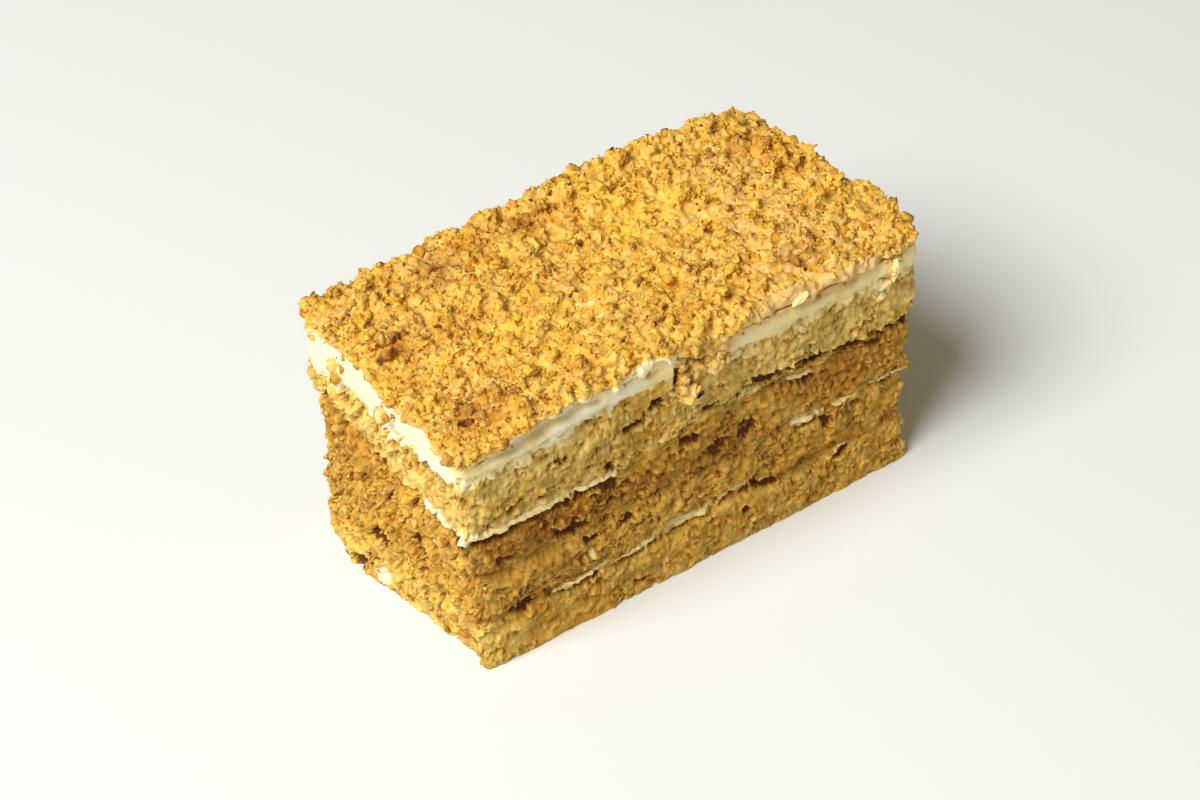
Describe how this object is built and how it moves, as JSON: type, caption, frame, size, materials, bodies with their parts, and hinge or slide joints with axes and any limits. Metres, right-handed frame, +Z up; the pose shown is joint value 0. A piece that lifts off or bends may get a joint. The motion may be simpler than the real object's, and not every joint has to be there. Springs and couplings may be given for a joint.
{
  "type": "honey cake slice",
  "caption": "Rectangular slice of layered honey cake with cream seams, a thick cream coat and a crumb and walnut topping.",
  "frame": {"origin": "middle of the slice's footprint, on the surface it stands on", "axes": "+Z up through the layers, +X along the slice's length, -Y towards the long cut face that the picture shows, -X towards the short cut face that it shows"},
  "size_m": [0.1038, 0.0534, 0.0581],
  "materials": {
    "sponge_base": "open honey sponge, light golden brown, matt",
    "sponge_lower": "open honey sponge, deep golden brown, matt",
    "sponge_middle": "open honey sponge, deep golden brown, matt",
    "sponge_upper": "closer honey sponge, pale tan, matt",
    "seam_cream": "ivory cream, soft sheen",
    "top_cream": "ivory cream, smoothed with a knife, soft sheen",
    "crumbs": "golden cake crumbs with walnut bits"
  },
  "bodies": {
    "root": {"sponge_base": "sponge_base", "cream_seam_lower": "seam_cream", "sponge_lower": "sponge_lower", "cream_seam_middle": "seam_cream", "sponge_middle": "sponge_middle", "cream_seam_upper": "seam_cream", "sponge_upper": "sponge_upper", "cream_top": "top_cream", "crumb_topping": "crumbs"}
  },
  "joints": []
}
